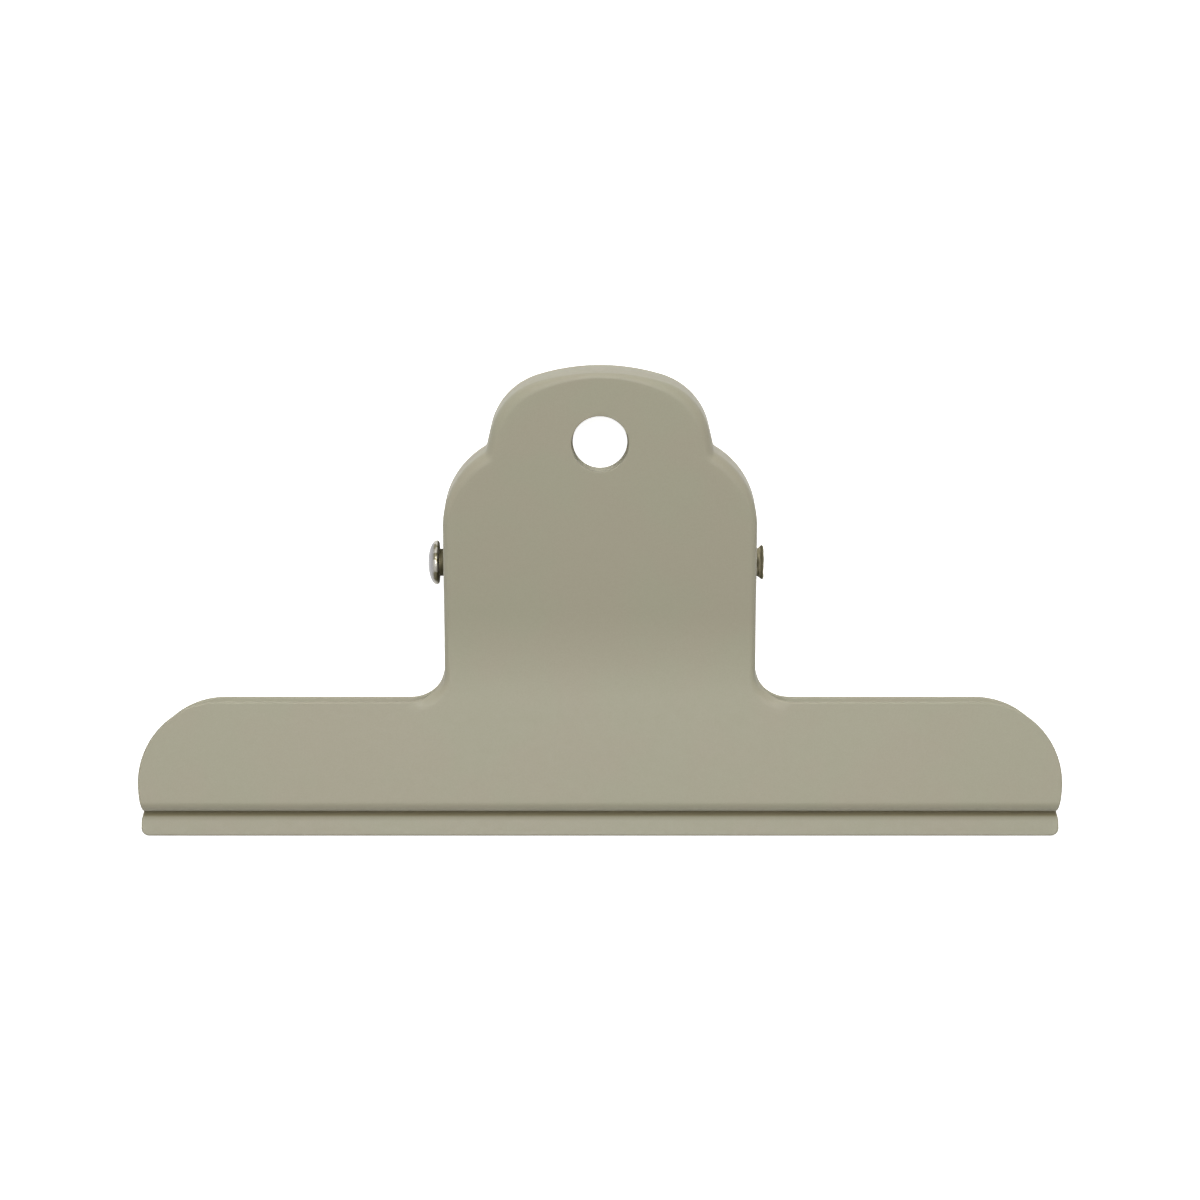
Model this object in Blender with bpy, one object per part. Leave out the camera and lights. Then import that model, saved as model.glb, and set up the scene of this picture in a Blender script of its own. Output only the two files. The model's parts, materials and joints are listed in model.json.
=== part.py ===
"""Hinged paper clamp of painted sheet steel.

Two mirrored pressed plates, each with a wide jaw, a neck with two ears and a
flanged handle, turn on one long rivet against a torsion spring.  The clamp lies
on its back: +X along the jaw, +Y towards the handles, +Z up.

Sizes are in millimetres and degrees.  A plate is drawn as a flat blank, with x
across and s along the outer skin from the lip's edge.  Bending the blank gives
points (x, u, w): u is the height above the lip's edge and w the distance from
the plane between the two plates.
"""
import math

import bmesh
import bpy
import numpy as np
from mathutils import Euler, Matrix, Vector

MM = 0.001

# Sheet
SHEET = 0.7
JAW_CLEARANCE = 0.3

# Side profile of a plate's outer skin, from the lip's edge up
LIP_LENGTH = 2.42
LIP_LEAN = 12.0
CREASE_RADIUS = 1.7
CREASE_SLOPE = 88.0
CREASE_STRAIGHT = 0.91
BELLY_RADIUS = 1.7
BODY_LENGTH = 17.86
NECK_BEND_RADIUS = 57.0
HANDLE_TILT = 14.0
PIVOT_HEIGHT = 46.3

# Outline of the jaw
LIP_HALF_WIDTH = 77.8
LIP_CORNER_RADIUS = 1.3
JAW_HALF_WIDTH = 77.8
WIDEST_HEIGHT = 9.25
END_RADIUS = 13.8
END_LOWER_RADIUS = 18.0
FILLET_RADIUS = 6.4

# Outline of the neck and handle, with heights along the handle from the pivot
NECK_HALF_WIDTH = 26.1
LOBE_HEIGHT = 8.6
LOBE_RADIUS = 14.5
NOTCH_RADIUS = 0.9
SIDE_SLOPE = 12.8
HEAD_HALF_WIDTH = 18.45
CORNER_RADIUS = 11.5
TOP_RADIUS = 34.0
TOP_HEIGHT = 34.8
HANG_HOLE_HEIGHT = 22.9
HANG_HOLE_RADIUS = 4.72

# Flange round the neck and handle
FLANGE_DEPTH = 6.6
FLANGE_CLEARANCE = 0.3
NECK_FOLD_INSIDE = 0.3
LOBE_FOLD_INSIDE = 1.1
TOP_FOLD_INSIDE = 0.1
LOBE_FOLD_FADE = 11.7
TOP_FOLD_FADE = 17.5
PLAIN_RIM = 0.5
FLANGE_FADE = 10.0

# Ears
EAR_RADIUS = 4.6
EAR_FOOT = 7.5
EAR_CLEARANCE = 0.5
STEP_FLAT = 6.5
STEP_END = 11.0

# Rivet
SHANK_RADIUS = 2.3
PIN_CLEARANCE = 0.3
HEAD_RADIUS = 3.7
HEAD_RIM = 0.5
HEAD_DOME = 1.4
HEAD_STAND_OFF = 1.0
FLARE_RADIUS = 2.95
FLARE_LENGTH = 0.95
TUBE_WALL = 0.55
TUBE_DEPTH = 6.0

# Torsion spring
WIRE_RADIUS = 0.9
COIL_CLEARANCE = 0.5
COIL_PITCH = 2.45
WHOLE_TURNS = 16
LEG_LENGTH = 18.3
LEG_CLEARANCE = 0.3

# How far the tools that cut the holes reach past the metal
CUTTER_EXCESS = 4.0

# Mesh steps, and in degrees on the arcs of the outline
ARC_STEP = 12.0
LIP_CORNER_STEP = 30.0
EDGE_STEPS = 3
EAR_STEPS = 12
BEND_STEPS = 5
FOLD_STEPS = 3
FLANGE_STEPS = 2
FACE_STEPS = 3
TURN_STEPS = 10
ROUND_STEPS = 28
FAN_END = 6.0
MERGE = 0.01
SHARP_ANGLE = 40.0

# Sheet profile as stretches of a length and a turn
PROFILE_STRETCHES = (
    (LIP_LENGTH, 0.0),
    (CREASE_RADIUS * math.radians(LIP_LEAN + CREASE_SLOPE), LIP_LEAN + CREASE_SLOPE),
    (CREASE_STRAIGHT, 0.0),
    (BELLY_RADIUS * math.radians(CREASE_SLOPE), -CREASE_SLOPE),
    (BODY_LENGTH, 0.0),
    (NECK_BEND_RADIUS * math.radians(HANDLE_TILT), HANDLE_TILT),
    (TOP_HEIGHT, 0.0),
)


def side_profile():
    """Start length, height, distance, heading and curvature of each stretch."""
    lengths = np.array([length for length, _ in PROFILE_STRETCHES])
    turns = np.radians([turn for _, turn in PROFILE_STRETCHES])
    lean = math.radians(LIP_LEAN)
    heading = np.cumsum(np.concatenate(([-lean], turns[:-1])))
    chord = lengths * np.sinc(turns / (2.0 * np.pi))
    middle = heading + turns / 2.0
    nearest = JAW_CLEARANCE / 2.0 + SHEET
    lip_edge = nearest + LIP_LENGTH * math.sin(lean) + CREASE_RADIUS * (1.0 - math.cos(lean))
    start = np.cumsum(np.concatenate(([0.0], lengths[:-1])))
    height = np.cumsum(np.concatenate(([0.0], (chord * np.cos(middle))[:-1])))
    distance = np.cumsum(np.concatenate(([lip_edge], (chord * np.sin(middle))[:-1])))
    return start, height, distance, heading, turns / lengths


STARTS, HEIGHTS, DISTANCES, HEADINGS, CURVATURES = side_profile()


def skin(s):
    """Height, distance and heading of the outer skin at the length s."""
    i = np.clip(np.searchsorted(STARTS, s, side="right") - 1, 0, len(STARTS) - 1)
    run = s - STARTS[i]
    half_turn = CURVATURES[i] * run / 2.0
    chord = run * np.sinc(half_turn / np.pi)
    middle = HEADINGS[i] + half_turn
    height = HEIGHTS[i] + chord * np.cos(middle)
    distance = DISTANCES[i] + chord * np.sin(middle)
    return height, distance, HEADINGS[i] + 2.0 * half_turn


def formed(x, s, depth):
    """Bent place of the blank's point (x, s), at a depth below the outer skin."""
    height, distance, heading = skin(s)
    u = height + depth * np.sin(heading)
    w = distance - depth * np.cos(heading)
    return np.stack((x, u, w), axis=-1)


# Places along the blank that follow from the sizes
TILT = math.radians(HANDLE_TILT)
NECK_FOLD_RADIUS = SHEET + NECK_FOLD_INSIDE
LOBE_FOLD_RADIUS = SHEET + LOBE_FOLD_INSIDE
TOP_FOLD_RADIUS = SHEET + TOP_FOLD_INSIDE
LIP_TOP_S = STARTS[1]
SLOPE_S = STARTS[2]
BELLY_S = STARTS[3]
BODY_S = STARTS[4]
WIDEST_S = BODY_S + WIDEST_HEIGHT - HEIGHTS[4]
SHOULDER_S = WIDEST_S + END_RADIUS
NECK_S = SHOULDER_S + FILLET_RADIUS
PIVOT_RISE = PIVOT_HEIGHT - HEIGHTS[6]
PIVOT_S = STARTS[6] + PIVOT_RISE * math.cos(TILT) - DISTANCES[6] * math.sin(TILT)
PIVOT_DEPTH = PIVOT_RISE * math.sin(TILT) + DISTANCES[6] * math.cos(TILT)
LOBE_S = PIVOT_S + LOBE_HEIGHT
HOLE_S = PIVOT_S + HANG_HOLE_HEIGHT
TOP_S = PIVOT_S + TOP_HEIGHT
EAR_HOLE_RADIUS = SHANK_RADIUS + PIN_CLEARANCE
EAR_STEP = SHEET + EAR_CLEARANCE


def smooth(t):
    """Ease from 0 to 1 with level ends."""
    t = np.clip(t, 0.0, 1.0)
    return t * t * (3.0 - 2.0 * t)


def arc(centre, radius, first, last, step=ARC_STEP, hollow=False):
    """Points on an arc of the outline and the directions out of the sheet there."""
    steps = math.ceil(abs(last - first) / step)
    angles = np.radians(np.linspace(first, last, steps + 1))
    out = np.stack((np.cos(angles), np.sin(angles)), axis=1)
    points = np.asarray(centre) + radius * out
    return points, -out if hollow else out


def straight(start, end):
    """Points on a straight edge and the direction out of the sheet, to its right."""
    along = np.linspace(start, end, EDGE_STEPS + 1)
    way = (np.asarray(end) - np.asarray(start)) / math.dist(start, end)
    out = np.tile((way[1], -way[0]), (EDGE_STEPS + 1, 1))
    return along, out


def join(stretches):
    """Joined stretches of outline, each without its first point after the first."""
    points = [stretches[0][0]] + [p[1:] for p, _ in stretches[1:]]
    outs = [stretches[0][1]] + [o[1:] for _, o in stretches[1:]]
    return np.concatenate(points), np.concatenate(outs)


def crossing(start, way, centre, radius, side):
    """Where a line from start, along way, enters (side -1) or leaves (1) a circle."""
    gap = start - centre
    along = gap @ way
    reach = math.sqrt(along * along - gap @ gap + radius * radius)
    return start + (side * reach - along) * way


def jaw_end():
    """Outline of the jaw's end from the lip's edge to its widest point."""
    corner = (LIP_HALF_WIDTH - LIP_CORNER_RADIUS, LIP_CORNER_RADIUS)
    points, outs = arc(corner, LIP_CORNER_RADIUS, -90.0, 0.0, LIP_CORNER_STEP)
    lengths = np.concatenate((
        [LIP_TOP_S],
        np.linspace(LIP_TOP_S, SLOPE_S, BEND_STEPS + 1)[1:],
        np.linspace(BELLY_S, BODY_S, BEND_STEPS + 1),
        [WIDEST_S],
    ))
    heights = skin(lengths)[0]
    drop = np.maximum(WIDEST_HEIGHT - heights, 0.0)
    bowed = JAW_HALF_WIDTH - END_LOWER_RADIUS + np.sqrt(END_LOWER_RADIUS ** 2 - drop ** 2)
    share = smooth((lengths - LIP_TOP_S) / (SLOPE_S - LIP_TOP_S))
    widths = LIP_HALF_WIDTH + (bowed - LIP_HALF_WIDTH) * share
    side = np.stack((widths, lengths), axis=1)
    out = np.tile((1.0, 0.0), (len(side), 1))
    return np.concatenate((points, side)), np.concatenate((outs, out))


def shoulder():
    """Outline from the jaw's widest point over the shoulder to the neck."""
    end_centre = (JAW_HALF_WIDTH - END_RADIUS, WIDEST_S)
    fillet_centre = (NECK_HALF_WIDTH + FILLET_RADIUS, NECK_S)
    return join((
        arc(end_centre, END_RADIUS, 0.0, 90.0),
        straight((end_centre[0], SHOULDER_S), (fillet_centre[0], SHOULDER_S)),
        arc(fillet_centre, FILLET_RADIUS, 270.0, 180.0, hollow=True),
    ))


def neck():
    """Straight side of the neck, with close rows where the ear rises."""
    below = np.linspace(NECK_S, PIVOT_S - EAR_FOOT, EDGE_STEPS + 1)
    ear = np.linspace(PIVOT_S - EAR_FOOT, PIVOT_S + EAR_FOOT, EAR_STEPS + 1)[1:]
    lengths = np.concatenate((below, ear, [LOBE_S]))
    points = np.stack((np.full(len(lengths), NECK_HALF_WIDTH), lengths), axis=1)
    return points, np.tile((1.0, 0.0), (len(points), 1))


def handle():
    """Outline of the lobe, notch, slanted side, corner and top of the handle."""
    slope = math.radians(SIDE_SLOPE)
    side_out = np.array((math.cos(slope), math.sin(slope)))
    down = np.array((math.sin(slope), -math.cos(slope)))
    on_side = np.array((HEAD_HALF_WIDTH, HOLE_S))
    lobe_centre = np.array((NECK_HALF_WIDTH - LOBE_RADIUS, LOBE_S))
    top_centre = np.array((0.0, TOP_S - TOP_RADIUS))
    notch_centre = crossing(on_side + NOTCH_RADIUS * side_out, down, lobe_centre,
                            LOBE_RADIUS + NOTCH_RADIUS, -1.0)
    corner_centre = crossing(on_side - CORNER_RADIUS * side_out, -down, top_centre,
                             TOP_RADIUS - CORNER_RADIUS, 1.0)
    notch_angle = math.degrees(math.atan2(*(notch_centre - lobe_centre)[::-1]))
    top_angle = math.degrees(math.atan2(*(corner_centre - top_centre)[::-1]))
    notch_end = notch_centre - NOTCH_RADIUS * side_out
    corner_start = corner_centre + CORNER_RADIUS * side_out
    return join((
        arc(lobe_centre, LOBE_RADIUS, 0.0, notch_angle),
        arc(notch_centre, NOTCH_RADIUS, notch_angle + 180.0, SIDE_SLOPE + 180.0, hollow=True),
        straight(notch_end, corner_start),
        arc(corner_centre, CORNER_RADIUS, SIDE_SLOPE, top_angle),
        arc(top_centre, TOP_RADIUS, top_angle, 90.0),
    ))


def path_run(points):
    """Length run along a row of points up to each of them."""
    steps = np.linalg.norm(np.diff(points, axis=0), axis=1)
    return np.concatenate(([0.0], np.cumsum(steps)))


def flange_depth(s):
    """Depth of the flange below the outer skin, with the ear's rounded rise."""
    _, distance, heading = skin(s)
    free = (distance - FLANGE_CLEARANCE) / np.cos(heading)
    plain = np.minimum(FLANGE_DEPTH, free)
    reach = np.clip((s - PIVOT_S) / EAR_FOOT, -1.0, 1.0)
    rise = PIVOT_DEPTH + EAR_RADIUS - FLANGE_DEPTH
    return plain + rise * (1.0 + np.cos(np.pi * reach)) / 2.0


def plate_rows():
    """Rows of the half blank: edge point, way out, centre point, fold and flange.

    The fold turns from flat to square round the fillet below the neck, and the
    flange grows to its full depth up the neck.  The rows run level over the lip,
    the belly and the neck, and fan out over the shoulder and the handle's head.
    """
    parts = (jaw_end(), shoulder(), neck(), handle())
    points, outs = join(parts)
    counts = [len(p) for p, _ in parts]
    jaw_last = counts[0] - 1
    neck_first = jaw_last + counts[1] - 1
    neck_last = neck_first + counts[2] - 1

    run = path_run(points)
    fold_first = run[neck_first] - FILLET_RADIUS * math.pi / 2.0
    strip = NECK_FOLD_RADIUS * math.pi / 2.0 + PLAIN_RIM
    centres = np.interp(
        run,
        (run[jaw_last], fold_first, run[neck_first]),
        (WIDEST_S, SHOULDER_S - strip, NECK_S),
    )
    centres[:jaw_last] = points[:jaw_last, 1]
    centres[neck_first:neck_last] = points[neck_first:neck_last, 1]
    head = run[neck_last:] - run[neck_last]
    centres[neck_last:] = LOBE_S + (TOP_S - FAN_END - LOBE_S) * head / head[-1]
    middle = np.stack((np.zeros(len(points)), centres), axis=1)
    ways = outs.copy()
    ways[:jaw_last] = (1.0, 0.0)

    angle = smooth((run - fold_first) / (run[neck_first] - fold_first)) * math.pi / 2.0
    opened = smooth((run - run[neck_last]) / LOBE_FOLD_FADE)
    radius = NECK_FOLD_RADIUS + (LOBE_FOLD_RADIUS - NECK_FOLD_RADIUS) * opened
    closed = 1.0 - smooth((run[-1] - run) / TOP_FOLD_FADE)
    radius += (TOP_FOLD_RADIUS - radius) * closed
    grown = smooth((run - fold_first - FILLET_RADIUS / 2.0) / FLANGE_FADE)
    flat = PLAIN_RIM + (flange_depth(points[:, 1]) - radius - PLAIN_RIM) * grown
    flat[neck_last:] = FLANGE_DEPTH - radius[neck_last:]
    return points, ways, middle, angle, radius * math.pi / 2.0, flat


def half_shell():
    """Outer and inner skin of the half blank: across, along and depth of each vertex."""
    points, ways, middle, angle, curl, flat = plate_rows()
    turn = np.linspace(0.0, 1.0, FOLD_STEPS + 1)[:, None]
    fold = turn * angle
    chord = turn * curl * np.sinc(fold / (2.0 * np.pi))
    out = chord * np.cos(fold / 2.0)
    down = chord * np.sin(fold / 2.0)
    reach = np.linspace(0.0, 1.0, FLANGE_STEPS + 1)[1:, None] * flat
    out = np.concatenate((out, out[-1] + reach * np.cos(angle)))
    down = np.concatenate((down, down[-1] + reach * np.sin(angle)))
    fold = np.concatenate((fold, np.tile(angle, (FLANGE_STEPS, 1))))
    out -= out[-1]
    spread = np.linspace(0.0, 1.0, FACE_STEPS + 1)[:-1, None, None]
    skins = []
    for inset in (0.0, SHEET):
        rim_out = out - inset * np.sin(fold)
        rim = points + rim_out[:, :, None] * ways
        face = middle + (rim[0] - middle) * spread
        blank = np.concatenate((face, rim))
        depth = np.concatenate((np.full((FACE_STEPS, len(points)), inset),
                                down + inset * np.cos(fold)))
        skins.append((blank[:, :, 0], blank[:, :, 1], depth))
    return skins


def rear_step(x, s):
    """Width of the rear plate, drawn in at its ears to pass inside the front ears."""
    away = np.abs(s - PIVOT_S)
    inset = EAR_STEP * smooth((STEP_END - away) / (STEP_END - STEP_FLAT))
    return x * (1.0 - inset / NECK_HALF_WIDTH)


def add_object(name, mesh, material=None):
    """A new object in the scene with at most one material."""
    part = bpy.data.objects.new(name, mesh)
    bpy.context.scene.collection.objects.link(part)
    if material is not None:
        mesh.materials.append(material)
    return part


def finish(part, cutters):
    """Keep the result of a part's modifiers as its mesh, smooth but for sharp edges."""
    graph = bpy.context.evaluated_depsgraph_get()
    mesh = bpy.data.meshes.new_from_object(part.evaluated_get(graph))
    part.modifiers.clear()
    rough = part.data
    part.data = mesh
    mesh.name = part.name
    bpy.data.meshes.remove(rough)
    for cutter in cutters:
        bpy.data.objects.remove(cutter)
    mesh.shade_smooth()
    mesh.set_sharp_from_angle(angle=math.radians(SHARP_ANGLE))


def rod_cutter(name, radius, length, rotation, place):
    """A rod that cuts a round hole, with its axis turned from +Z."""
    shape = bmesh.new()
    bmesh.ops.create_cone(shape, cap_ends=True, segments=ROUND_STEPS, radius1=radius * MM,
                          radius2=radius * MM, depth=length * MM)
    mesh = bpy.data.meshes.new(name)
    shape.to_mesh(mesh)
    shape.free()
    cutter = add_object(name, mesh)
    cutter.rotation_euler = rotation
    cutter.location = Vector(place) * MM
    cutter.hide_render = True
    cutter.display_type = "WIRE"
    return cutter


def half_plate_shape(side):
    """Closed half of a plate but for its seam; side is 1 in front, -1 behind."""
    shape = bmesh.new()
    skins = []
    for x, s, depth in half_shell():
        if side < 0:
            x = rear_step(x, s)
        placed = (formed(x, s, depth) - (0.0, PIVOT_HEIGHT, 0.0)) * (1.0, 1.0, side) * MM
        skins.append([[shape.verts.new(p) for p in row] for row in placed])
    outer, inner = skins
    for skin_grid, way in ((outer, side), (inner, -side)):
        for near, far in zip(skin_grid, skin_grid[1:]):
            for i in range(len(near) - 1):
                shape.faces.new((near[i], far[i], far[i + 1], near[i + 1])[::way])
    lip_edge = [(outer[k][0], inner[k][0]) for k in range(len(outer))]
    rim_edge = list(zip(outer[-1], inner[-1]))
    for edge in (lip_edge, rim_edge):
        for (out_a, in_a), (out_b, in_b) in zip(edge, edge[1:]):
            shape.faces.new((out_a, in_a, in_b, out_b)[::side])
    return shape


def plate(name, side, material):
    """A pressed plate, with its origin on the pivot; side is 1 in front, -1 behind."""
    shape = half_plate_shape(side)
    mesh = bpy.data.meshes.new(name)
    shape.to_mesh(mesh)
    shape.free()
    part = add_object(name, mesh, material)
    mirror = part.modifiers.new("Other half", "MIRROR")
    mirror.use_axis = (True, False, False)
    mirror.merge_threshold = MERGE * MM

    across = Euler((0.0, math.pi / 2.0, 0.0))
    leaned = Euler((side * TILT, 0.0, 0.0))
    hole_place = formed(np.array(0.0), np.array(HOLE_S), np.array(SHEET / 2.0))
    hole_place = (hole_place - (0.0, PIVOT_HEIGHT, 0.0)) * (1.0, 1.0, side)
    cutters = (
        rod_cutter(name + "_ear_holes", EAR_HOLE_RADIUS, 2.0 * NECK_HALF_WIDTH + CUTTER_EXCESS,
                   across, (0.0, 0.0, 0.0)),
        rod_cutter(name + "_hang_hole", HANG_HOLE_RADIUS, SHEET + CUTTER_EXCESS, leaned,
                   hole_place),
    )
    for cutter in cutters:
        cut = part.modifiers.new("Hole", "BOOLEAN")
        cut.operation = "DIFFERENCE"
        cut.solver = "EXACT"
        cut.object = cutter
    finish(part, cutters)
    return part


def pivot_rivet(material):
    """The hollow-ended rivet, turned about the pivot's axis."""
    head_x = -(NECK_HALF_WIDTH + HEAD_STAND_OFF)
    tube_x = NECK_HALF_WIDTH + PIN_CLEARANCE
    end_x = tube_x + FLARE_LENGTH
    bore = SHANK_RADIUS - TUBE_WALL
    dome = [
        (head_x - HEAD_RIM - HEAD_DOME * math.cos(a), HEAD_RADIUS * math.sin(a))
        for a in np.linspace(0.0, math.pi / 2.0, BEND_STEPS + 1)
    ]
    flare = [
        (tube_x + FLARE_LENGTH * t, SHANK_RADIUS + (FLARE_RADIUS - SHANK_RADIUS) * t * t)
        for t in np.linspace(0.0, 1.0, FOLD_STEPS + 1)
    ]
    mouth = [(x, r - TUBE_WALL) for x, r in reversed(flare)]
    blind = [(end_x - TUBE_DEPTH, bore), (end_x - TUBE_DEPTH - bore / 2.0, 0.0)]
    profile = dome + [(head_x, HEAD_RADIUS), (head_x, SHANK_RADIUS)] + flare + mouth + blind

    shape = bmesh.new()
    chain = [shape.verts.new((x * MM, 0.0, r * MM)) for x, r in profile]
    edges = [shape.edges.new(pair) for pair in zip(chain, chain[1:])]
    bmesh.ops.spin(shape, geom=chain + edges, cent=(0.0, 0.0, 0.0), axis=(1.0, 0.0, 0.0),
                   angle=2.0 * math.pi, steps=ROUND_STEPS, use_merge=True)
    bmesh.ops.remove_doubles(shape, verts=shape.verts, dist=MERGE * MM)
    bmesh.ops.recalc_face_normals(shape, faces=shape.faces)
    mesh = bpy.data.meshes.new("pivot_rivet")
    shape.to_mesh(mesh)
    shape.free()
    mesh.shade_smooth()
    mesh.set_sharp_from_angle(angle=math.radians(SHARP_ANGLE))
    return add_object("pivot_rivet", mesh, material)


def spring_path():
    """Points of the wire's centre line, from the front handle to the rear one."""
    coil = SHANK_RADIUS + COIL_CLEARANCE + WIRE_RADIUS
    reach = PIVOT_DEPTH - SHEET - WIRE_RADIUS - LEG_CLEARANCE
    lean = TILT + math.asin(reach / math.hypot(coil, LEG_LENGTH)) - math.atan2(coil, LEG_LENGTH)
    first = math.pi / 2.0 + lean
    turn = 2.0 * math.pi * WHOLE_TURNS + math.pi - 2.0 * lean
    half_width = COIL_PITCH * turn / (4.0 * math.pi)
    steps = round(turn / (2.0 * math.pi) * TURN_STEPS)
    share = np.linspace(0.0, 1.0, steps + 1)
    angles = first + turn * share
    coil_points = np.stack((half_width * (1.0 - 2.0 * share), coil * np.cos(angles),
                            coil * np.sin(angles)), axis=1)
    along = LEG_LENGTH * np.array((math.cos(lean), math.sin(lean)))
    front_tip = coil_points[0] + (0.0, along[0], along[1])
    rear_tip = coil_points[-1] + (0.0, along[0], -along[1])
    return np.concatenate(([front_tip], coil_points, [rear_tip]))


def least_gap(path):
    """Least gap between stretches of the wire that lie half a turn or more apart."""
    least = math.inf
    for i in range(len(path) - TURN_STEPS // 2):
        away = np.linalg.norm(path[i + TURN_STEPS // 2:] - path[i], axis=1)
        least = min(least, away.min())
    return least - 2.0 * WIRE_RADIUS


def torsion_spring(material):
    """The coiled wire round the rivet as one closed tube."""
    path = spring_path()
    print("Spring's least gap to itself, mm:", round(least_gap(path), 3))
    curve = bpy.data.curves.new("torsion_spring_path", "CURVE")
    curve.dimensions = "3D"
    curve.bevel_depth = WIRE_RADIUS * MM
    curve.bevel_resolution = 1
    curve.use_fill_caps = True
    line = curve.splines.new("POLY")
    line.points.add(len(path) - 1)
    for point, place in zip(line.points, path * MM):
        point.co = (*place, 1.0)
    wire = bpy.data.objects.new("torsion_spring_path", curve)
    bpy.context.scene.collection.objects.link(wire)
    graph = bpy.context.evaluated_depsgraph_get()
    mesh = bpy.data.meshes.new_from_object(wire.evaluated_get(graph))
    bpy.data.objects.remove(wire)
    mesh.name = "torsion_spring"
    shape = bmesh.new()
    shape.from_mesh(mesh)
    bmesh.ops.remove_doubles(shape, verts=shape.verts, dist=MERGE * MM)
    bmesh.ops.recalc_face_normals(shape, faces=shape.faces)
    shape.to_mesh(mesh)
    shape.free()
    mesh.shade_smooth()
    mesh.set_sharp_from_angle(angle=math.radians(SHARP_ANGLE))
    return add_object("torsion_spring", mesh, material)


def surface(name, srgb, roughness, metallic):
    """A Principled material of one sRGB colour."""
    material = bpy.data.materials.new(name)
    material.use_nodes = True
    shader = material.node_tree.nodes["Principled BSDF"]
    linear = [((c / 255.0 + 0.055) / 1.055) ** 2.4 for c in srgb]
    shader.inputs["Base Color"].default_value = (*linear, 1.0)
    shader.inputs["Roughness"].default_value = roughness
    shader.inputs["Metallic"].default_value = metallic
    return material


def rest_angle():
    """Turn about X that lays the belly and the handle's end bend on one level."""
    belly = np.array((HEIGHTS[4], BELLY_RADIUS - DISTANCES[4]))
    top = formed(np.array(0.0), np.array(TOP_S - TOP_FOLD_RADIUS), np.array(TOP_FOLD_RADIUS))
    apart = np.array((top[1], -top[2])) - belly
    rise = BELLY_RADIUS - TOP_FOLD_RADIUS
    return math.asin(-rise / math.hypot(*apart)) + math.atan2(-apart[1], apart[0])


def lay_down(parts):
    """Turn the parts onto their back, centred over the origin and standing on Z 0."""
    rest = bpy.data.objects.new("pivot", None)
    bpy.context.scene.collection.objects.link(rest)
    turn = Matrix.Rotation(rest_angle(), 3, "X")
    corners = np.array([turn @ v.co for part in parts for v in part.data.vertices])
    low = corners.min(axis=0)
    high = corners.max(axis=0)
    rest.rotation_euler = turn.to_euler()
    rest.location = (-(low[0] + high[0]) / 2.0, -(low[1] + high[1]) / 2.0, -low[2])
    for part in parts:
        part.parent = rest
    size = (high - low) / MM
    print("Size, mm:", [round(float(v), 2) for v in size])
    print("Pivot, m:", [round(float(v), 6) for v in rest.location])
    print("Turn, degrees:", round(math.degrees(rest_angle()), 3))


def build():
    """The whole clamp."""
    for old in list(bpy.data.objects):
        bpy.data.objects.remove(old)
    paint = surface("painted_steel", (157, 153, 133), 0.58, 0.0)
    rear_paint = surface("painted_steel_rear", (157, 153, 133), 0.58, 0.0)
    nickel = surface("nickel_plate", (176, 170, 158), 0.25, 1.0)
    spring_nickel = surface("nickel_wire", (170, 166, 156), 0.3, 1.0)
    lay_down((
        plate("front_plate", 1, paint),
        plate("rear_plate", -1, rear_paint),
        pivot_rivet(nickel),
        torsion_spring(spring_nickel),
    ))


build()
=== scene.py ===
"""Looks of a hinged paper clamp: two pressed, painted plates, a rivet and a spring.

Sizes are in millimetres and degrees and are turned into metres where a mesh is
made.  A plate is drawn as a flat blank, with x across and s along its outer skin
from the lip's edge, and is then bent into (x, u, w): u is the height above the
lip's edge and w the distance from the plane between the plates.
"""
import json
import math

import bmesh
import bpy
import numpy as np
from mathutils import Matrix, Vector

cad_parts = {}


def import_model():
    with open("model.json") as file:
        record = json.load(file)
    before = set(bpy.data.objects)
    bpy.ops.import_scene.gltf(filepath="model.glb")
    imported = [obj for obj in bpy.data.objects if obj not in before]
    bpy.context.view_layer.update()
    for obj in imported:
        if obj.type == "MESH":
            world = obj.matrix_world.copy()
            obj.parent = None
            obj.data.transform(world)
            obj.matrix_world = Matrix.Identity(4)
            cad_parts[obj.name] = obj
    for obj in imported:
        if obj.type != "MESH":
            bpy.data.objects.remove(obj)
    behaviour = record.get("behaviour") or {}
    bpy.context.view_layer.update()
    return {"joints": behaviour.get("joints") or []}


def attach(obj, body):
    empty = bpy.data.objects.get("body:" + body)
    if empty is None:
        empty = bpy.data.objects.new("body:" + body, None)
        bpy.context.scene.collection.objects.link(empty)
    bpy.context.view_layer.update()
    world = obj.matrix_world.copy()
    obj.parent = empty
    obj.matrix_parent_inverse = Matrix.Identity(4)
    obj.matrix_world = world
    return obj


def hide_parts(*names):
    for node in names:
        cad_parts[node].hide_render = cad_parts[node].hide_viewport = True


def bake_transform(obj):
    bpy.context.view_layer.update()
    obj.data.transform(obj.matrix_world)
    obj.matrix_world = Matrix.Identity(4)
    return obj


MM = 0.001

# Sheet and the paint's rounding of its cut edges
SHEET = 0.7
JAW_CLEARANCE = 0.3
EDGE_ROUND = 0.25
HOLE_ROUND = 0.1

# Side profile of a plate's outer skin, from the lip up
LIP_LENGTH = 2.42
LIP_LEAN = 12.0
CREASE_RADIUS = 1.7
CREASE_SLOPE = 88.0
CREASE_STRAIGHT = 0.91
BELLY_RADIUS = 1.7
BODY_LENGTH = 17.86
NECK_BEND_RADIUS = 57.0
HANDLE_TILT = 14.0
PIVOT_HEIGHT = 46.3

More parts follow.
